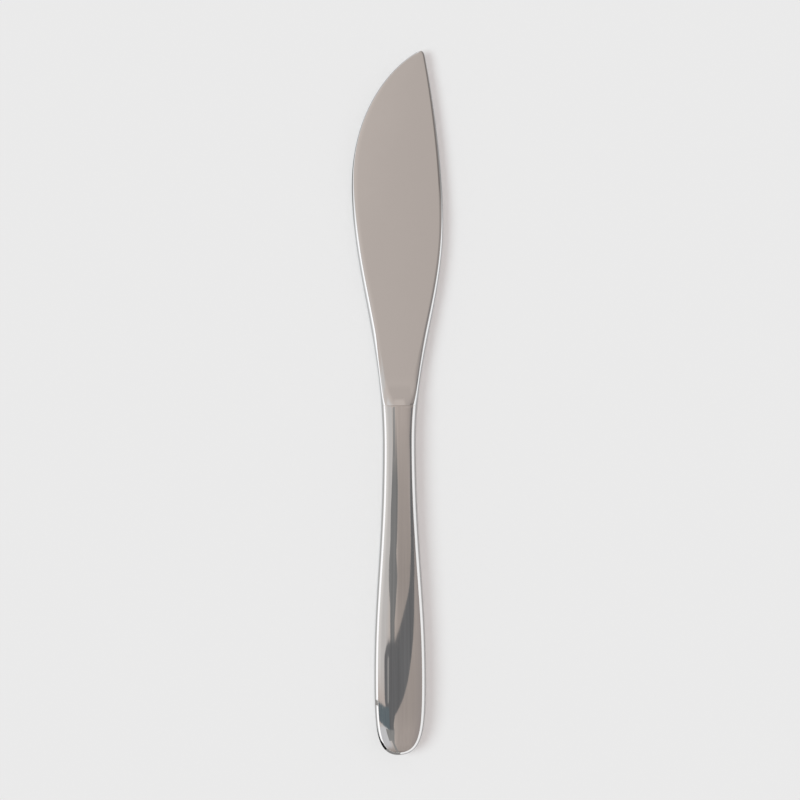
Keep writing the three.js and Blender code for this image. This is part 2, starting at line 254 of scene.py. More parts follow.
# The veil over the flags, a glow that paints a reflection: the places where it starts, is full, starts
# to thin and ends, and the places along it where it starts to darken and is darkest, with its shares
# of the ceiling's colour there
VEIL_ACROSS = (-0.02, 0.0, 0.10, 0.16)
VEIL_ALONG = (-0.085, -0.06, -0.03, 0.0)
VEIL_DARKENING = (-0.025, -0.06)
VEIL_TONES = (0.83, 0.74)

# Floor and camera
FLOOR_HALF = 4.0
SENSOR_WIDTH = 36.0  # millimetres, as Blender counts it
VIEW_REACH = 20.0


# Settings


def number(label, text, default, **kind):
    """A number setting."""
    return FloatProperty(name=label, description=text, default=default, **kind)


def length(label, text, millimetres):
    """A length setting whose default is written in millimetres."""
    return number(label, text, millimetres * MILLIMETRE, unit="LENGTH", precision=5)


def share(label, text, default):
    """A setting between nothing and all."""
    return number(label, text, default, min=0.0, max=1.0, subtype="FACTOR")


def colour(label, text, default):
    """A linear colour setting."""
    return FloatVectorProperty(name=label, description=text, default=default, size=3, subtype="COLOR")


def angle(label, text, degrees):
    """An angle setting whose default is written in degrees."""
    return number(label, text, np.radians(degrees), subtype="ANGLE")


class KnifeBladeSizes(bpy.types.PropertyGroup):
    """Sizes of the blade, measured from the shoulder and from the handle's axis."""

    reach: length("Length", "Shoulder to the corner where edge and spine would meet", 111.7)
    tip_offset: length("Tip offset", "That corner's distance from the axis", 7.95)
    tip_rounding: length("Tip rounding", "Length taken off each side of the corner", 2.2)
    edge_tip_angle: angle("Edge at tip", "Between axis and edge at the tip", 59.5)
    spine_tip_angle: angle("Spine at tip", "Between axis and spine at the tip", 11.0)
    edge_belly: length("Edge belly", "The edge's furthest distance from the axis", 14.5)
    edge_belly_at: length("Edge belly place", "Its distance from the shoulder", 68.6)
    spine_bulge: length("Spine bulge", "The spine's furthest distance from the axis", 13.95)
    spine_bulge_at: length("Spine bulge place", "Its distance from the shoulder", 57.5)
    root_thickness: length("Root thickness", "Thickness where the flat begins", 3.7)
    tip_thickness: length("Tip thickness", "Thickness at the tip's corner", 1.0)
    bolster: length("Bolster", "Hollow ramp from the shoulder down to the flat", 13.0)
    neck_bevel: length("Neck bevel", "Rounded sides at the foot of the bolster", 2.6)
    neck_to: length("Neck end", "Where the neck's sides have turned into bevels", 24.0)
    edge_bevel: length("Edge bevel", "Sloping side of the edge at the root, narrowing as it thins", 1.42)
    spine_bevel: length("Spine bevel", "Sloping side of the spine there", 1.6)
    grind: length("Grind", "Ground face beside the edge's bevel", 14.0)
    grind_from: length("Grind start", "Where the flat starts to be ground down", 56.0)
    grind_to: length("Grind end", "Where it is ground down fully", 90.0)
    edge_thickness: length("Edge thickness", "Left at the edge's bevel there", 0.6)
    spigot: length("Spigot", "Plug that sits inside the handle's mouth", 3.0)
    tang: length("Tang", "Length behind the spigot", 52.0)
    tang_width: length("Tang width", "Width of the tang at the spigot", 5.2)
    tang_end_width: length("Tang end", "Width of the tang at its end", 3.2)
    tang_thickness: length("Tang thickness", "Thickness of the tang", 3.2)
    nick_spacing: length("Nick spacing", "Between the keying nicks in the tang's sides", 12.0)
    nick_length: length("Nick length", "Length of a keying nick", 4.0)
    nick_depth: length("Nick depth", "Depth of a keying nick", 0.7)


class KnifeHandleSizes(bpy.types.PropertyGroup):
    """Sizes of the hollow handle and of its brazed joints."""

    reach: length("Length", "Shoulder to butt", 109.3)
    width: length("Width", "Greatest width", 16.0)
    thickness: length("Thickness", "Greatest thickness", 9.4)
    widest_at: length("Widest place", "Its distance from the butt", 24.3)
    butt_skew: length("Butt skew", "Its end off the axis, towards the edge", 0.6)
    waist: length("Waist", "Smallest width", 10.2)
    waist_at: length("Waist place", "Its distance from the shoulder", 11.8)
    shoulder_thickness: length("Shoulder thickness", "Thickness where handle and blade meet", 8.7)
    wall: length("Wall", "Sheet thickness of the half shells", 1.0)
    fit: length("Fit", "Room round the spigot", 0.3)
    seam: length("Seam", "Width of the brazed line between the half shells", 0.16)
    joint: length("Joint", "Width of the brazed line at the shoulder", 0.14)
    joint_gap: length("Joint gap", "Hairline on each side of a brazed line", 0.004)
    sunk: length("Sunk", "How far a brazed line lies below the steel", 0.001)
    softened: length("Softened edge", "Rounding of the steel edges beside the shoulder's line", 0.008)


class KnifeFinishes(bpy.types.PropertyGroup):
    """Colours and polish."""

    blade: colour("Blade steel", "Reflected colour of the blade", (0.724, 0.729, 0.73))
    blade_roughness: share("Blade roughness", "Satin of the blade", 0.17)
    handle: colour("Handle steel", "Reflected colour of the handle", (0.65, 0.645, 0.64))
    handle_roughness: share("Handle roughness", "Polish of the handle and of the blade's rims", 0.06)
    braze: colour("Braze", "Reflected colour of the brazed lines", (0.64, 0.625, 0.605))
    cement: colour("Cement", "Colour of the cement inside the handle", (0.30, 0.27, 0.23))


class KnifeStage(bpy.types.PropertyGroup):
    """Floor, light, flags and camera."""

    floor: colour("Floor", "Colour of the floor", (0.842, 0.836, 0.85))
    gleam: colour("Floor gleam", "Sheen that the steel sees on the floor", (0.74, 0.74, 0.76))
    overhead_colour: colour("Overhead light", "Colour of the light from overhead", (0.424, 0.39, 0.371))
    overhead_strength: number("Overhead strength", "Strength of that light", 3.14)
    overhead_spread: angle("Overhead spread", "Width of that light as an angle", 10.0)
    dome: colour("Dome", "Even light from all round", (0.30, 0.30, 0.30))
    key_colour: colour("Window light", "Colour of the window's light", (0.86, 0.99, 1.0))
    key_strength: number("Window strength", "Strength of the window's light", 1.15)
    key_height: angle("Window height", "The window's angle above the floor", 55.0)
    key_turn: angle("Window turn", "The window's turn towards the butt", 8.0)
    key_spread: angle("Window spread", "Width of the window as an angle", 32.0)
    ceiling: colour("Ceiling", "Ceiling in the steel's reflections", (0.62, 0.546, 0.504))
    window: colour("Window side", "Pale side of the mirrored room", (0.738, 0.71, 0.694))
    wall: colour("Wall", "Duller side of that room", (0.45, 0.40, 0.38))
    flag_black: colour("Black flag", "Flag by the foot of the handle", (0.02, 0.02, 0.02))
    flag_dark: colour("Dark flag", "Large dark flag over the handle", (0.195, 0.195, 0.20))
    flag_warm: colour("Warm flag", "Dark flag beside the blade's tip", (0.27, 0.238, 0.222))
    flag_fawn: colour("Fawn flag", "Flag beside the blade's root", (0.41, 0.363, 0.339))
    flag_cool: colour("Cool flag", "Dark flag with a cool cast", (0.178, 0.214, 0.235))
    flag_grey: colour("Grey flag", "Flag over the middle of the handle", (0.285, 0.282, 0.28))
    flag_pale: colour("Pale flag", "Flags at the end of the handle", (0.355, 0.352, 0.345))
    flag_faint: colour("Faint flag", "Narrow flags", (0.42, 0.41, 0.40))
    camera_height: length("Camera height", "Camera above the floor", 1000.0)
    picture_width: length("Picture width", "Width of the view at the height of the knife's middle", 250.24)
    picture_x: length("Picture middle x", "Point in the middle of the picture", 0.595)
    picture_y: length("Picture middle y", "Point in the middle of the picture", 0.85)
    picture_roll: angle("Picture roll", "Turn of the camera about its own axis", -0.21)


SETTINGS = {
    "knife_blade": KnifeBladeSizes,
    "knife_handle": KnifeHandleSizes,
    "knife_finish": KnifeFinishes,
    "knife_stage": KnifeStage,
}


# Curves and outlines


def blend(start, end, part):
    """The value a share of the way from start to end."""
    return start + (end - start) * part


def ease(start, end, y):
    """A smooth step from 0 at start to 1 at end: three squares less two cubes."""
    s = np.clip((y - start) / (end - start), 0.0, 1.0)
    return s * s * (3.0 - 2.0 * s)


def crowding(count):
    """Shares from 0 to 1 that crowd towards 0: one less the cosine of an even quarter turn."""
    return 1.0 - np.cos(np.linspace(0.0, np.pi / 2, count))


def bezier(start, leave, arrive, end):
    """A cubic Bezier curve: its four points weighted by the cubic Bernstein shares."""
    along = np.linspace(0.0, 1.0, CURVE_STEPS)[:, None]
    rest = 1.0 - along
    start, leave, arrive, end = (np.asarray(p, float) for p in (start, leave, arrive, end))
    return rest**3 * start + 3 * rest**2 * along * leave + 3 * rest * along**2 * arrive + along**3 * end


def sweep(start, end, fullness, slant=(0.0, 1.0)):
    """A curve that leaves parallel to the axis and arrives along slant; fullness sets its two tangents."""
    run = end[1] - start[1]
    leave = (start[0], start[1] + fullness[0] * run)
    arrive = np.asarray(end, float) - fullness[1] * run * np.asarray(slant, float)
    return bezier(start, leave, arrive, end)


def butt_curve(handle, half, skew):
    """The handle's round end, from the middle of the butt to its widest place."""
    across, along = BUTT_FULLNESS
    end = -handle.reach
    leave = (blend(skew, half, across), end)
    arrive = (half, end + handle.widest_at * along)
    return bezier((skew, end), leave, arrive, (half, end + handle.widest_at))


def outlines(blade, handle):
    """Edge and spine as rows of (x, y), and the handle's half thickness as rows of (z, y), butt first."""
    corner = np.array((blade.tip_offset, blade.reach))
    slants = {
        -1: np.array((np.sin(blade.edge_tip_angle), np.cos(blade.edge_tip_angle))),
        1: np.array((-np.sin(blade.spine_tip_angle), np.cos(blade.spine_tip_angle))),
    }
    ends = {sign: corner - blade.tip_rounding * slant for sign, slant in slants.items()}
    furthest = {-1: (-blade.edge_belly, blade.edge_belly_at), 1: (blade.spine_bulge, blade.spine_bulge_at)}
    fullness = {-1: (EDGE_FULLNESS, EDGE_TIP_FULLNESS), 1: (SPINE_FULLNESS, SPINE_TIP_FULLNESS)}
    widest_y = handle.widest_at - handle.reach

    # The rounded tip is a quadratic curve drawn towards the corner, and each side takes it up to its top
    rise = {sign: corner[1] - end[1] for sign, end in ends.items()}
    sides = {}
    for sign in (-1, 1):
        widest = (sign * handle.width / 2, widest_y)
        waist = (sign * handle.waist / 2, -handle.waist_at)
        top = rise[sign] / (rise[-1] + rise[1])
        to_top = np.linspace(0.0, top, CURVE_STEPS)[1:, None]
        rest = 1 - to_top
        tip = rest**2 * ends[sign] + 2 * rest * to_top * corner + to_top**2 * ends[-sign]
        sides[sign] = np.concatenate(
            (
                butt_curve(handle, widest[0], -handle.butt_skew),
                sweep(widest, waist, HANDLE_FULLNESS),
                sweep(waist, furthest[sign], fullness[sign][0]),
                sweep(furthest[sign], ends[sign], fullness[sign][1], slants[sign]),
                tip,
            )
        )
    thickest = (handle.thickness / 2, widest_y)
    shoulder = (handle.shoulder_thickness / 2, 0.0)
    ramp_end = np.array([(shoulder[0], blade.bolster)])
    thickness = np.concatenate(
        (butt_curve(handle, thickest[0], 0.0), sweep(thickest, shoulder, THICKNESS_FULLNESS), ramp_end)
    )
    return sides[-1], sides[1], thickness


def read(side, y):
    """The first coordinate of an outline at heights y."""
    return np.interp(y, side[:, 1], side[:, 0])


def stretch(side, y):
    """How much longer an outline is than its run along y: the hypotenuse over one and its slope."""
    slope = (read(side, y + SLOPE_STEP) - read(side, y - SLOPE_STEP)) / (2 * SLOPE_STEP)
    return np.hypot(1.0, slope)


def moved_sideways(side, distance):
    """An outline moved by a distance to the right of its direction of travel."""
    along = np.gradient(side, axis=0)
    along /= np.linalg.norm(along, axis=1, keepdims=True)
    return side + distance * np.stack((along[:, 1], -along[:, 0]), axis=1)


# Meshes


class Place:
    """Where the knife's own frame lies in the part's frame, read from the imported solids.

    The direction midway between the blade's two flats gives the lean about x, the handle's shell gives
    x, and the middle of the shoulder's brazed joint gives y and z.
    """

    def __init__(self):
        mounts = {mount["name"]: np.array(mount["axis"]) for mount in frame["record"]["mounts"]}
        across = mounts["blade_front_flat"] - mounts["blade_back_flat"]
        self.lean = np.arctan2(across[1], across[2])
        low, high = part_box("handle_shell_front")
        ring_low, ring_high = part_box("shoulder_braze")
        middle = (ring_low + ring_high) / 2
        self.shift = np.array(
            (
                (low.x + high.x) / 2,
                middle.y + JOINT_MIDDLE * np.cos(self.lean),
                middle.z - JOINT_MIDDLE * np.sin(self.lean),
            )
        )

    def __call__(self, points):
        x, y, z = np.moveaxis(points, -1, 0)
        cos, sin = np.cos(self.lean), np.sin(self.lean)
        return np.stack((x, y * cos + z * sin, z * cos - y * sin), axis=-1) + self.shift


def make_piece(name, points, faces, node, material):
    """An object from vertices in the knife's frame, with doubles merged and faces outwards."""
    mesh = bpy.data.meshes.new(name)
    mesh.from_pydata(Place()(points.reshape(-1, 3)).tolist(), [], faces)
    work = bmesh.new()
    work.from_mesh(mesh)
    bmesh.ops.remove_doubles(work, verts=work.verts, dist=MERGE_DISTANCE)
    bmesh.ops.recalc_face_normals(work, faces=work.faces)
    if work.calc_volume(signed=True) < 0:
        bmesh.ops.reverse_faces(work, faces=work.faces)
    open_edges = [edge for edge in work.edges if not edge.is_manifold]
    work.to_mesh(mesh)
    work.free()
    if open_edges:
        raise RuntimeError(f"{name} has {len(open_edges)} open edges")
    mesh.shade_smooth()
    mesh.set_sharp_from_angle(angle=SHARP_ANGLE)
    mesh.materials.append(material)
    piece = bpy.data.objects.new(name, mesh)
    bpy.context.scene.collection.objects.link(piece)
    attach(piece, "root")
    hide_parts(node)


def band_faces(rows, wrap_rows=False):
    """Four-sided faces between neighbouring rows of closed rings, as numbers into the flattened grid."""
    count, ring = rows
    index = np.arange(count * ring).reshape(count, ring)
    after = np.roll(index, -1, axis=0) if wrap_rows else index[1:]
    before = index if wrap_rows else index[:-1]
    faces = np.stack((before, np.roll(before, -1, axis=1), np.roll(after, -1, axis=1), after), axis=-1)
    return faces.reshape(-1, 4).tolist()


def round_shares(power, turn):
    """A rounded side as shares of its width and height: 1 - cos^(2/power) inwards, sin^(2/power) upwards."""
    exponent = 2.0 / power
    return 1.0 - np.maximum(np.cos(turn), 0.0) ** exponent, np.sin(turn) ** exponent


def section_rows(y, left, right, half, rounds, powers, rim=1.0, ground=0.0):
    """Ten rows of what the sections at each y need; rounds and powers are pairs, left side first."""
    return np.stack(np.broadcast_arrays(y, left, right, half, *rounds, *powers, rim, ground))


def section_rings(rows):
    """Closed sections across the knife: two rounded sides joined by flats, alike on both sides of the seam.

    The left side's rounded part has a share rim of the full height. Over the width ground beside it, the
    share still missing shrinks to nothing as a power of the distance left to the flat.
    """
    y, left, right, half, round_left, round_right, power_left, power_right, rim, ground = rows[..., None]
    most = MOST_ROUNDING * (right - left)
    turn = np.linspace(0.0, np.pi / 2, SIDE_STEPS + 1)[None, :]
    inward, upward = round_shares(power_left, turn)
    x_left = left + inward * np.minimum(round_left, most)
    z_left = half * rim * upward
    inward, upward = round_shares(power_right, turn)
    x_right = right - inward * np.minimum(round_right, most)
    z_right = half * upward
    done = np.linspace(0.0, 1.0, GROUND_STEPS + 1)[None, 1:]
    free = x_right[:, -1:] - x_left[:, -1:]
    x_ground = x_left[:, -1:] + np.minimum(ground, GROUND_SHARE * free) * done
    z_ground = half * (1.0 - (1.0 - rim) * (1.0 - done) ** GRIND_POWER)
    across = np.linspace(0.0, 1.0, FLAT_STEPS + 2)[None, 1:-1]
    x_flat = blend(x_ground[:, -1:], x_right[:, -1:], across)
    z_flat = np.broadcast_to(half, x_flat.shape)
    x_top = np.concatenate((x_left, x_ground, x_flat, x_right[:, ::-1]), axis=1)
    z_top = np.concatenate((z_left, z_ground, z_flat, z_right[:, ::-1]), axis=1)
    x = np.concatenate((x_top, x_top[:, -2:0:-1]), axis=1)
    z = np.concatenate((z_top, -z_top[:, -2:0:-1]), axis=1)
    return np.stack((x, np.broadcast_to(y, x.shape), z), axis=-1)


# Blade


def tang_rows(blade):
    """The tang from its closed end to the spigot: a tapering bar with nicks in its sides."""
    end = -blade.spigot - blade.tang
    nicks = -blade.spigot - blade.nick_spacing * np.arange(NICK_COUNT, 0, -1)[:, None]
    offsets = blade.nick_length / 2 * np.array((-1.0, 0.0, 1.0))[None, :]
    y = np.concatenate(((end, end), (nicks + offsets).ravel(), (-blade.spigot,)))
    depth = np.concatenate(((0.0, 0.0), np.tile((0.0, blade.nick_depth, 0.0), NICK_COUNT), (0.0,)))
    taper = (y - end) / blade.tang
    half_width = blend(blade.tang_end_width, blade.tang_width, taper) / 2 - depth
    half = np.full_like(y, blade.tang_thickness / 2)
    half_width[0] = 0.0
    half[0] = 0.0
    corners = (TANG_CORNER, TANG_CORNER)
    return section_rows(y, -half_width, half_width, half, corners, (TANG_POWER, TANG_POWER))


def oval_rows(y, drawn, edge, spine, thickness):
    """Full oval sections of the handle's form, drawn in by a distance at each y."""
    left = read(edge, y) + drawn
    right = read(spine, y) - drawn
    half = read(thickness, y) - drawn
    width = right - left
    return section_rows(y, left, right, half, (width, width), (HANDLE_POWER, HANDLE_POWER))


def leaf_rows(blade, handle, edge, spine):
    """The blade from its shoulder to its tip.

    Half the thickness falls evenly from root to tip, so each flat is a plane. The bolster stands on it as
    a hollow ramp, whose height falls by a power of the distance left to its foot. Over it the oval sides
    turn into the neck's rounded ones and then into bevels. Further out the edge's side is ground down.
    The shoulder's corner and the tip's nose are quarter rounds.
    """
    tip_y = edge[-1, 1]
    turn = np.linspace(0.0, np.pi / 2, FILLET_ROWS)
    ramp_y = np.linspace(0.0, blade.bolster, BOLSTER_ROWS)[1:]
    ramp_y = ramp_y[ramp_y > handle.softened]
    flat_y = blend(blade.bolster, tip_y, np.sin(np.linspace(0.0, np.pi / 2, BLADE_ROWS)[1:]))
    y = np.concatenate((handle.softened * (1.0 - np.cos(turn)), ramp_y, flat_y))
    drawn = np.zeros_like(y)
    drawn[:FILLET_ROWS] = handle.softened * (1.0 - np.sin(turn))

    ramp = 1.0 - np.clip(1.0 - y / blade.bolster, 0.0, 1.0) ** BOLSTER_POWER
    taper = (y - blade.bolster) / (blade.reach - blade.bolster)
    flat = blend(blade.root_thickness, blade.tip_thickness, taper) / 2
    half = blend(handle.shoulder_thickness / 2, flat, ramp)
    rim = blend(1.0, blade.edge_thickness / 2 / half, ease(blade.grind_from, blade.grind_to, y))
    nose = blade.tip_thickness
    half *= np.sqrt(np.clip(1.0 - (np.maximum(y - tip_y + nose, 0.0) / nose) ** 2, 0.0, 1.0))

    left = read(edge, y) + drawn
    right = read(spine, y) - drawn
    oval = (right - left) / 2
    past_neck = ease(0.0, blade.neck_to, y)
    thinned = flat / (blade.root_thickness / 2)
    edge_bevel = blend(blade.neck_bevel, blade.edge_bevel * thinned * rim, past_neck)
    spine_bevel = blend(blade.neck_bevel, blade.spine_bevel * np.sqrt(thinned), past_neck)
    rounds = (
        blend(oval, edge_bevel * stretch(edge, y), ramp),
        blend(oval, spine_bevel * stretch(spine, y), ramp),
    )
    powers = [
        blend(HANDLE_POWER, blend(NECK_POWER, bevel_power, past_neck), ramp)
        for bevel_power in (EDGE_POWER, SPINE_POWER)
    ]
    return section_rows(y, left, right, half - drawn, rounds, powers, rim, blade.grind)


def build_blade(scene):
    """Tang, spigot, shoulder, bolster and leaf as one closed skin over sections from tang to tip."""
    blade, handle = scene.knife_blade, scene.knife_handle
    edge, spine, thickness = outlines(blade, handle)
    spigot_y = np.array((-blade.spigot, 0.0))
    parts = (
        tang_rows(blade),
        oval_rows(spigot_y, handle.wall + handle.fit, edge, spine, thickness),
        leaf_rows(blade, handle, edge, spine),
    )
    rings = section_rings(np.concatenate(parts, axis=1))
    faces = band_faces(rings.shape[:2])
    make_piece("blade_forging", rings, faces, "blade", satin_steel(scene.knife_finish))


# Handle


def mouth_of(handle):
    """The y of the shells' open end, behind the shoulder's brazed line and its two hairlines."""
    return -handle.joint - 2 * handle.joint_gap


def arc_points(y, left, right, half, turn, lift):
    """Upper half ovals: x follows cos^(2/power) of the turn and z sin^(2/power), lifted off the seam."""
    exponent = 2.0 / HANDLE_POWER
    cos, sin = np.cos(turn)[None, :], np.maximum(np.sin(turn), 0.0)[None, :]
    middle, reach = (left + right) / 2, (right - left) / 2
    x = middle[:, None] - reach[:, None] * np.sign(cos) * np.abs(cos) ** exponent
    squash = 1.0 - lift / np.max(half)
    z = lift + squash * half[:, None] * sin**exponent
    return np.stack((x, np.broadcast_to(y[:, None], x.shape), z), axis=-1)


def shell_points(blade, handle):
    """Rings of the upper half shell from butt to mouth: the outer arc, edge to spine, and the inner back.

    Rows crowd towards the butt, where both arcs draw together. The mouth's outer corner is a quarter round.
    """
    edge, spine, thickness = outlines(blade, handle)
    mouth = mouth_of(handle)
    butt = -handle.reach
    turn = np.linspace(0.0, np.pi / 2, FILLET_ROWS)[1:]
    body_y = blend(butt, mouth - handle.softened, crowding(HANDLE_ROWS))
    y = np.concatenate((body_y, mouth - handle.softened * (1.0 - np.sin(turn))))
    drawn = np.concatenate((np.zeros(HANDLE_ROWS), handle.softened * (1.0 - np.cos(turn))))
    arc = np.linspace(0.0, np.pi, HANDLE_ARC)
    lift = handle.seam / 2 + handle.joint_gap
    outer_sides = (read(edge, y) + drawn, read(spine, y) - drawn, read(thickness, y) - drawn)
    outer = arc_points(y, *outer_sides, arc, lift)

    inner_y = butt + handle.wall + (y - butt) * (mouth - butt - handle.wall) / (mouth - butt)
    inner_sides = (
        read(moved_sideways(edge, handle.wall), inner_y),
        read(moved_sideways(spine, -handle.wall), inner_y),
        read(moved_sideways(thickness, -handle.wall), inner_y),
    )
    inner = arc_points(inner_y, *inner_sides, arc, lift)
    outer[0] = (-handle.butt_skew, butt, lift)
    inner[0] = (-handle.butt_skew, butt + handle.wall, lift)
    return np.concatenate((outer, inner[:, ::-1]), axis=1)


def build_shells(scene):
    """The two half shells, one the mirror image of the other in the seam's plane."""
    rings = shell_points(scene.knife_blade, scene.knife_handle)
    rows, ring = rings.shape[:2]
    last = np.arange((rows - 1) * ring, rows * ring)
    outer, inner = last[:HANDLE_ARC], last[HANDLE_ARC:][::-1]
    rim = np.stack((outer[:-1], outer[1:], inner[1:], inner[:-1]), axis=1).tolist()
    faces = band_faces((rows, ring)) + rim
    polish = mirror_steel(scene.knife_finish)
    for name, node, side in SHELLS:
        make_piece(name, rings * (1, 1, side), faces, node, polish)


def seam_strip(handle, edge, spine):
    """Rings of the line round the seam: a rectangle between the shells, carried along the outline.

    It runs from the mouth on the edge's side round the butt to the mouth on the spine's side.
    """
    mouth = mouth_of(handle)
    butt = -handle.reach + handle.sunk
    y = blend(butt, mouth, crowding(HANDLE_ROWS))
    walls = []
    for drawn in (handle.sunk, handle.wall):
        left, right = moved_sideways(edge, drawn), moved_sideways(spine, -drawn)
        start = -handle.reach + drawn
        depth = start + (y - butt) * (mouth - start) / (mouth - butt)
        x = np.concatenate((read(left, depth)[::-1], read(right, depth)[1:]))
        x[len(y) - 1] = -handle.butt_skew
        walls.append(np.stack((x, np.concatenate((depth[::-1], depth[1:]))), axis=1))
    outer, inner = walls
    half = handle.seam / 2
    corners = ((outer, half), (outer, -half), (inner, -half), (inner, half))
    return np.stack([np.column_stack((line, np.full(len(line), z))) for line, z in corners], axis=1)


def shoulder_ring(handle, edge, spine, thickness):
    """Rings of the line at the shoulder: a rectangle carried round the mouth's oval."""
    front = -handle.joint_gap
    back = front - handle.joint
    y = np.array((front, back, back, front))
    drawn = np.array((handle.sunk, handle.sunk, handle.wall, handle.wall))
    ovals = section_rings(oval_rows(y, drawn, edge, spine, thickness))
    return np.swapaxes(ovals, 0, 1)


def build_brazes(scene):
    """The brazed lines round the seam and at the shoulder."""
    blade, handle = scene.knife_blade, scene.knife_handle
    edge, spine, thickness = outlines(blade, handle)
    metal = braze_alloy(scene.knife_finish)
    strip = seam_strip(handle, edge, spine)
    rows, corners = strip.shape[:2]
    first = list(range(corners))
    last = [rows * corners - 1 - corner for corner in first]
    faces = band_faces((rows, corners)) + [first, last]
    make_piece("seam_line", strip, faces, "seam_braze", metal)

    ring = shoulder_ring(handle, edge, spine, thickness)
    faces = band_faces(ring.shape[:2], wrap_rows=True)
    make_piece("shoulder_line", ring, faces, "shoulder_braze", metal)


# Shader maths


class Value:
    """A socket that takes part in sums: each operator adds a Math node."""

    def __init__(self, graph, socket):
        self.graph = graph
        self.socket = socket

    def __add__(self, other):
        return self.graph.math("ADD", self, other)

    __radd__ = __add__

    def __sub__(self, other):
        return self.graph.math("SUBTRACT", self, other)

    def __rsub__(self, other):
        return self.graph.math("SUBTRACT", other, self)

    def __mul__(self, other):
        return self.graph.math("MULTIPLY", self, other)

    __rmul__ = __mul__


class Graph:
    """A node tree and the ways to add to it."""

    def __init__(self, tree):
        self.tree = tree
        tree.nodes.clear()

    def node(self, kind, settings=None, inputs=None):
        """A shader node of a kind: its settings are made first, then its sockets get values or links."""
        made = self.tree.nodes.new("ShaderNode" + kind)
        for key, value in (settings or {}).items():
            setattr(made, key, value)
        for key, value in (inputs or {}).items():
            if isinstance(value, Value):
                self.tree.links.new(value.socket, made.inputs[key])
            else:
                made.inputs[key].default_value = value
        return made

    def make(self, kind, settings=None, inputs=None, output=0):
        """One output of a new node, ready for sums."""
        return Value(self, self.node(kind, settings, inputs).outputs[output])

    def math(self, operation, *values):
        """A Math node on numbers or sockets."""
        return self.make("Math", {"operation": operation}, dict(enumerate(values)))

    def step(self, value, start, full):
        """A smooth step of a value, from 0 at start to 1 at full."""
        inputs = {"Value": value, "From Min": start, "From Max": full}
        return self.make("MapRange", {"interpolation_type": "SMOOTHSTEP"}, inputs, "Result")

    def mix(self, factor, first, second):
        """Two colours mixed by a factor."""
        return self.make("Mix", {"data_type": "RGBA"}, {0: factor, 6: first, 7: second}, 2)

    def shade(self, factor, tone, first, second):
        """Two shares of one colour mixed by a factor."""
        return self.mix(factor, tint(tone, first), tint(tone, second))

    def axes(self, vector):
        """The three parts of a vector."""
        node = self.node("SeparateXYZ", None, {0: vector})
        return [Value(self, output) for output in node.outputs]

    def noise(self, vector, cells, detail=2.0, roughness=0.5, turn=0.0):
        """Even noise about one half; cells along x, y and z are counted after a turn about z."""
        if isinstance(cells, tuple):
            turned = self.make("Mapping", None, {"Vector": vector, "Rotation": (0.0, 0.0, turn)})
            vector = self.make("Mapping", None, {"Vector": turned, "Scale": cells})
            cells = 1.0
        inputs = {"Vector": vector, "Scale": cells, "Detail": detail, "Roughness": roughness}
        return self.make("TexNoise", None, inputs, "Fac")

    def bump(self, height, amount, depth):
        """A normal bent by a height."""
        inputs = {"Height": height, "Strength": amount, "Distance": depth}
        return self.make("Bump", None, inputs, "Normal")

    def surface(self, shader):
        """The material's output, fed by a shader."""
        self.node("OutputMaterial", None, {"Surface": shader})

    def principled(self, **sockets):
        """A Principled shader at the output; socket names have underscores for spaces."""
        inputs = {name.replace("_", " "): value for name, value in sockets.items()}
        self.surface(self.make("BsdfPrincipled", None, inputs))

    def glow(self, tone, cover=None):
        """An even glow at the output, with clear places where a cover is nothing."""
        shader = self.make("Emission", None, {"Color": tone, "Strength": 1.0})
        if cover:
            clear = self.make("BsdfTransparent")
            shader = self.make("MixShader", None, {0: cover, 1: clear, 2: shader})
        self.surface(shader)


def new_material(name):
    """A node material that isn't sampled as a lamp, its graph and its object coordinates."""
    material = bpy.data.materials.new(name)
    material.use_nodes = True
    material.cycles.emission_sampling = "NONE"
    graph = Graph(material.node_tree)
    return material, graph, graph.make("TexCoord", None, None, "Object")


def tint(colour_value, factor):
    """A colour with full alpha, made lighter or darker."""
    return (*(channel * factor for channel in colour_value), 1.0)


def satin_steel(finish):
    """Blade steel: fine cross-ground lines and slow cloudy tones on the flats, and smooth, polished rims."""
    material, graph, place = new_material("satin_steel")
    normal = graph.axes(graph.make("NewGeometry", None, None, "Normal"))
    rim = graph.step(graph.math("ABSOLUTE", normal[2]), *RIM_STEEPNESS)
    lines = graph.noise(place, GROUND_LINES, 3.0, 0.6)
    clouds = graph.noise(place, STEEL_CLOUDS, 3.0, 0.55)
    tone = graph.step(0.7 * clouds + 0.3 * lines, 0.3, 0.7)
    base = graph.shade(tone, finish.blade, 0.985, 1.015)
    # painted shade: the blade's steel gets darker towards the spine
    base = graph.mix(graph.step(graph.axes(place)[0], *BLADE_PAINTED_SHADE_SPAN), base, tint(finish.blade, 0.95))
    base = graph.mix(rim, base, tint(finish.blade, 0.92))
    bump = graph.bump(lines * (1.0 - rim), 0.1, LINE_DEPTH)
    satin = finish.blade_roughness - 0.03 + 0.04 * lines + 0.03 * clouds
    rough = satin * (1.0 - rim) + finish.handle_roughness * rim
    graph.principled(Base_Color=base, Metallic=1.0, Roughness=rough, Normal=bump)
    return material


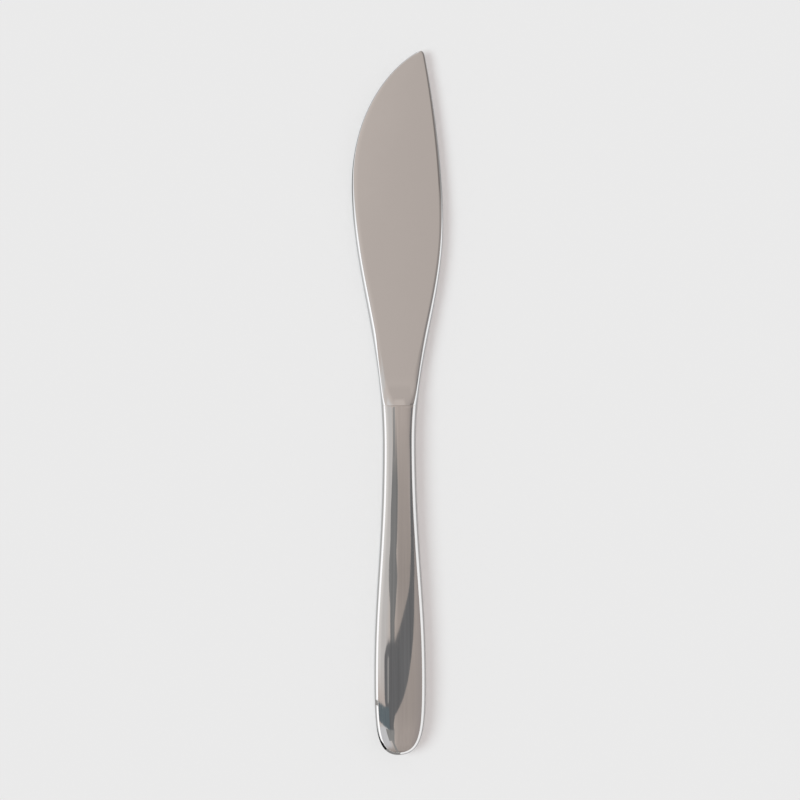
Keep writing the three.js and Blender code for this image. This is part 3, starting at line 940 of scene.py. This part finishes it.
def mirror_steel(finish):
    """Handle steel: a mirror polish with faint streaks and hairlines along the grip, and smudges."""
    material, graph, place = new_material("mirror_steel")
    smudge = graph.step(graph.noise(place, SMUDGES, 4.0, 0.6), 0.45, 0.75)
    along, across = (
        graph.step(graph.noise(place, cells, turn=turn), *rise) for cells, turn, rise in HAIRLINES
    )
    hairline = along + across
    streaks = graph.noise(place, STREAKS)
    base = graph.shade(graph.step(streaks, 0.3, 0.7), finish.handle, 0.975, 1.02)
    base = graph.mix(0.5 * smudge, base, tint(finish.handle, 0.96))
    bump = graph.bump(streaks - 0.1 * hairline, 1.0, STREAK_DEPTH)
    rough = finish.handle_roughness + 0.03 * smudge + 0.05 * hairline
    graph.principled(Base_Color=base, Metallic=1.0, Roughness=rough, Normal=bump)
    return material


def braze_alloy(finish):
    """Brazed line: dull, slightly warm metal with small pits."""
    material, graph, place = new_material("braze_alloy")
    grain = graph.noise(place, BRAZE_PITS, 3.0, 0.6)
    base = graph.shade(grain, finish.braze, 0.8, 1.1)
    bump = graph.bump(grain, 0.3, PIT_DEPTH)
    graph.principled(Base_Color=base, Metallic=1.0, Roughness=0.16 + 0.15 * grain, Normal=bump)
    return material


def sand_cement(finish):
    """Cement inside the handle: sandy grains in a dull binder."""
    material, graph, place = new_material("sand_cement")
    grains = graph.make("TexVoronoi", None, {"Vector": place, "Scale": CEMENT_SAND}, "Distance")
    clouds = graph.noise(place, CEMENT_CLOUDS, 4.0, 0.6)
    base = graph.shade(0.6 * clouds + 0.4 * grains, finish.cement, 0.75, 1.3)
    bump = graph.bump(grains, 0.6, SAND_DEPTH)
    graph.principled(Base_Color=base, Roughness=0.85 + 0.12 * clouds, Normal=bump)
    return material


# Stage


def mirrored(graph):
    """One for what the steel mirrors to the camera, and nothing for light that it throws on the floor."""
    ray = graph.node("LightPath")
    glossy = Value(graph, ray.outputs["Is Glossy Ray"])
    bounced = graph.math("MINIMUM", Value(graph, ray.outputs["Diffuse Depth"]), 1.0)
    return glossy * (1.0 - bounced)


def toned(graph, stage, base, place, tones):
    """A colour with each tone of a list laid over it in turn."""
    for start, full, name, factor in tones:
        base = graph.mix(graph.step(place, start, full), base, tint(getattr(stage, name), factor))
    return base


def build_world(scene):
    """Faint light from all round, and a plain room in the steel's reflections that doesn't light the floor.

    Directions in the room are read by their y and by their angle across the knife: a pale window side
    beyond the edge, a warm ceiling, lightest far beyond the tip and dullest behind the butt, and a duller
    wall beyond the spine.
    """
    stage = scene.knife_stage
    world = bpy.data.worlds.new("studio")
    world.use_nodes = True
    world.cycles.sampling_method = "NONE"
    scene.world = world
    graph = Graph(world.node_tree)
    x, y, z = graph.axes(graph.make("TexCoord", None, None, "Generated"))
    across = graph.math("ARCTAN2", x, z)
    neck = graph.step(y, *NECK_SPAN)
    ceiling = toned(graph, stage, tint(stage.ceiling, CEILING_BEHIND), y, CEILING_ALONG)
    window = toned(graph, stage, tint(stage.window, 1.0), across, WINDOW_ACROSS)
    window = graph.mix(NECK_SHARE * neck, window, tint(stage.ceiling, NECK_TONE))
    window = toned(graph, stage, window, y, WINDOW_ALONG)
    room = toned(graph, stage, ceiling, across, CEILING_ACROSS)
    room = graph.mix(graph.step(across + NECK_TURN * neck, *WINDOW_SPAN), room, window)
    room = toned(graph, stage, room, across, WALL_ACROSS)
    room = toned(graph, stage, room, y, ROOM_BEHIND)
    light = graph.mix(mirrored(graph), tint(stage.dome, 1.0), room)
    seen = graph.make("LightPath", None, None, "Is Camera Ray")
    light = graph.mix(seen, light, tint(stage.floor, 1.0))
    background = graph.make("Background", None, {"Color": light, "Strength": 1.0})
    graph.node("OutputWorld", None, {"Surface": background})


def rectangle(x, y):
    """The corners of a rectangle between two x and two y."""
    return (x[0], y[0]), (x[1], y[0]), (x[1], y[1]), (x[0], y[1])


def flat_card(name, corners, height, material):
    """A level polygon at a height."""
    mesh = bpy.data.meshes.new(name)
    mesh.from_pydata([(x, y, height) for x, y in corners], [], [range(len(corners))])
    mesh.materials.append(material)
    card = bpy.data.objects.new(name, mesh)
    bpy.context.scene.collection.objects.link(card)
    return card


def floor_paper(stage):
    """Pale paper with a faint fibre; the steel's reflections alone see painted shade on it beneath the
    steel, and a painted sheen, a glow, at low angles.

    The painted sheen needs a lower angle beyond the edge and past the shoulder. It is stronger beyond
    the edge, and on both sides it weakens past the blade's widest place, where the painted shade
    beneath is darkest.
    """
    material, graph, place = new_material("floor_paper")
    fibre = graph.noise(place, PAPER_FIBRE, 3.0, 0.6)
    paper = graph.shade(fibre, stage.floor, 0.995, 1.005)
    facing = graph.make("LayerWeight", None, {"Blend": 0.5}, "Facing")
    x, y, _ = graph.axes(place)
    beyond_edge = graph.step(x, *BEYOND_EDGE)
    ahead = graph.step(y, *PAST_SHOULDER)
    towards_tip = graph.step(y, *PAST_WIDEST)
    past_bulge = towards_tip * (1.0 - beyond_edge)
    past_belly = towards_tip * beyond_edge
    # painted sheen: a glow on the paper that only the steel's reflections see, at low angles
    low = graph.step(facing - SHEEN_EDGE_DELAY * beyond_edge - SHEEN_BLADE_DELAY * ahead, *SHEEN_LOOK)
    spine_side = graph.shade(past_bulge, stage.gleam, *SPINE_SHEEN)
    edge_side = graph.shade(past_belly, stage.gleam, *EDGE_SHEEN)
    gleam = graph.mix(beyond_edge, spine_side, edge_side)
    seen = mirrored(graph)
    gleam = graph.mix(seen * low, tint(stage.gleam, 0.0), gleam)
    # painted shade: the steel's reflections see the paper darker beneath the steel
    beneath = graph.shade(ahead * beyond_edge, stage.floor, PAINTED_SHADE_BENEATH, PAINTED_SHADE_EDGE)
    beneath = graph.mix(past_bulge, beneath, tint(stage.floor, PAINTED_SHADE_SPINE_TIP))
    beneath = graph.mix(past_belly, beneath, tint(stage.floor, PAINTED_SHADE_EDGE_TIP))
    paper = graph.mix(seen * (1.0 - low * (1.0 - past_bulge)), paper, beneath)
    graph.principled(
        Base_Color=paper, Roughness=0.9, Specular_IOR_Level=0.0, Emission_Color=gleam, Emission_Strength=1.0
    )
    return material


def veil_gauze(stage):
    """A glow a little duller than the ceiling that paints a veil into the reflections, thinning out towards
    its own edges.
    """
    material, graph, place = new_material("veil_gauze")
    x, y, _ = graph.axes(place)
    shade = graph.shade(graph.step(y, *VEIL_DARKENING), stage.ceiling, *VEIL_TONES)
    along = graph.step(y, *VEIL_ALONG[:2]) * graph.step(y, *VEIL_ALONG[:1:-1])
    across = graph.step(x, *VEIL_ACROSS[:2]) * graph.step(x, *VEIL_ACROSS[:1:-1])
    graph.glow(shade, along * across)
    return material


def painted_reflection_flag(name, shade, fade=None):
    """An even glow that paints a reflection, lighter and darker in soft folds along y; with a fade it
    thickens from clear to full between two y.
    """
    material, graph, place = new_material(name)
    folds = graph.step(graph.noise(place, FLAG_FOLDS), 0.3, 0.7)
    tone = graph.shade(folds, shade, 0.9, 1.1)
    cover = graph.step(graph.axes(place)[1], *fade) if fade else None
    graph.glow(tone, cover)
    return material


def build_flags(stage):
    """Glowing flags about the knife and a veil over them, which only the steel's reflections see: painted
    reflections.
    """
    cards = []
    for name, (shade, height, layer, millimetres) in FLAGS.items():
        corners = np.array(millimetres) * MILLIMETRE
        painted_reflection = painted_reflection_flag(name, getattr(stage, shade), FLAG_FADES.get(name))
        cards.append(flat_card(name, corners, height + layer * FLAG_SPACING, painted_reflection))
    veil = rectangle(VEIL_ACROSS[::3], VEIL_ALONG[::3])
    cards.append(flat_card("veil", veil, OVER_HANDLE + FLAG_SPACING, veil_gauze(stage)))
    for card in cards:
        card.visible_camera = False
        card.visible_diffuse = False
        card.visible_transmission = False
        card.visible_shadow = False


def soft_lamp(name, power, shade, spread, turn):
    """A distant lamp as wide as an angle, which the steel doesn't mirror."""
    light = bpy.data.lights.new(name, "SUN")
    light.energy = power
    light.color = shade
    light.angle = spread
    lamp = bpy.data.objects.new(name, light)
    lamp.rotation_euler = turn
    lamp.visible_glossy = False
    bpy.context.scene.collection.objects.link(lamp)


def build_camera(scene):
    """A camera straight above, whose picture has its width at the height of the knife's middle."""
    stage = scene.knife_stage
    middle_height = (CAD_BOX[0].z + CAD_BOX[1].z) / 2
    data = bpy.data.cameras.new("camera")
    data.sensor_width = SENSOR_WIDTH
    data.lens = SENSOR_WIDTH * (stage.camera_height - middle_height) / stage.picture_width
    data.clip_end = VIEW_REACH
    camera = bpy.data.objects.new("camera", data)
    camera.location = (stage.picture_x, stage.picture_y, stage.camera_height)
    camera.rotation_euler = (0.0, 0.0, stage.picture_roll)
    scene.collection.objects.link(camera)
    scene.camera = camera
    scene.view_settings.view_transform = "Standard"


def build_stage(scene):
    """Floor, flags, lamps, world and camera."""
    stage = scene.knife_stage
    span = (-FLOOR_HALF, FLOOR_HALF)
    flat_card("floor", rectangle(span, span), 0.0, floor_paper(stage))
    build_flags(stage)
    window_turn = (0.0, stage.key_height - np.pi / 2, stage.key_turn)
    soft_lamp("window", stage.key_strength, stage.key_colour, stage.key_spread, window_turn)
    overhead = (stage.overhead_strength, stage.overhead_colour, stage.overhead_spread)
    soft_lamp("overhead", *overhead, (0.0, 0.0, 0.0))
    build_world(scene)
    build_camera(scene)


# Operators, panel and registration


class KNIFE_OT_blade(bpy.types.Operator):
    """Build the forged blade with its bolster, spigot and tang"""

    bl_idname = "knife.blade"
    bl_label = "Blade"

    def execute(self, context):
        build_blade(context.scene)
        return {"FINISHED"}


class KNIFE_OT_shells(bpy.types.Operator):
    """Build the two polished half shells of the handle"""

    bl_idname = "knife.shells"
    bl_label = "Handle shells"

    def execute(self, context):
        build_shells(context.scene)
        return {"FINISHED"}


class KNIFE_OT_brazes(bpy.types.Operator):
    """Build the brazed lines round the seam and at the shoulder"""

    bl_idname = "knife.brazes"
    bl_label = "Brazed lines"

    def execute(self, context):
        build_brazes(context.scene)
        return {"FINISHED"}


class KNIFE_OT_filler(bpy.types.Operator):
    """Give the cement core inside the handle its material"""

    bl_idname = "knife.filler"
    bl_label = "Cement core"

    def execute(self, context):
        core = frame["nodes"]["handle_filler"]
        core.data.materials.clear()
        core.data.materials.append(sand_cement(context.scene.knife_finish))
        return {"FINISHED"}


class KNIFE_OT_stage(bpy.types.Operator):
    """Build the floor, the light and the camera"""

    bl_idname = "knife.stage"
    bl_label = "Stage"

    def execute(self, context):
        build_stage(context.scene)
        return {"FINISHED"}


OPERATORS = (KNIFE_OT_blade, KNIFE_OT_shells, KNIFE_OT_brazes, KNIFE_OT_filler, KNIFE_OT_stage)


class KNIFE_PT_panel(bpy.types.Panel):
    """The knife's settings and the operators that build it"""

    bl_idname = "KNIFE_PT_panel"
    bl_label = "Table knife"
    bl_space_type = "VIEW_3D"
    bl_region_type = "UI"
    bl_category = "Knife"

    def draw(self, context):
        for operator in OPERATORS:
            self.layout.operator(operator.bl_idname)
        for group in SETTINGS:
            settings = getattr(context.scene, group)
            box = self.layout.box()
            for name in settings.__annotations__:
                box.prop(settings, name)


CLASSES = (*SETTINGS.values(), *OPERATORS, KNIFE_PT_panel)


def register():
    """Registers the classes and hangs the settings on the scene."""
    for each in CLASSES:
        bpy.utils.register_class(each)
    for name, group in SETTINGS.items():
        setattr(bpy.types.Scene, name, PointerProperty(type=group))


def unregister():
    """Takes the settings off the scene and unregisters the classes."""
    for name in SETTINGS:
        delattr(bpy.types.Scene, name)
    for each in reversed(CLASSES):
        bpy.utils.unregister_class(each)


def main():
    """Builds every piece and the stage."""
    register()
    bpy.ops.knife.blade()
    bpy.ops.knife.shells()
    bpy.ops.knife.brazes()
    bpy.ops.knife.filler()
    bpy.ops.knife.stage()


if __name__ == "__main__":
    main()
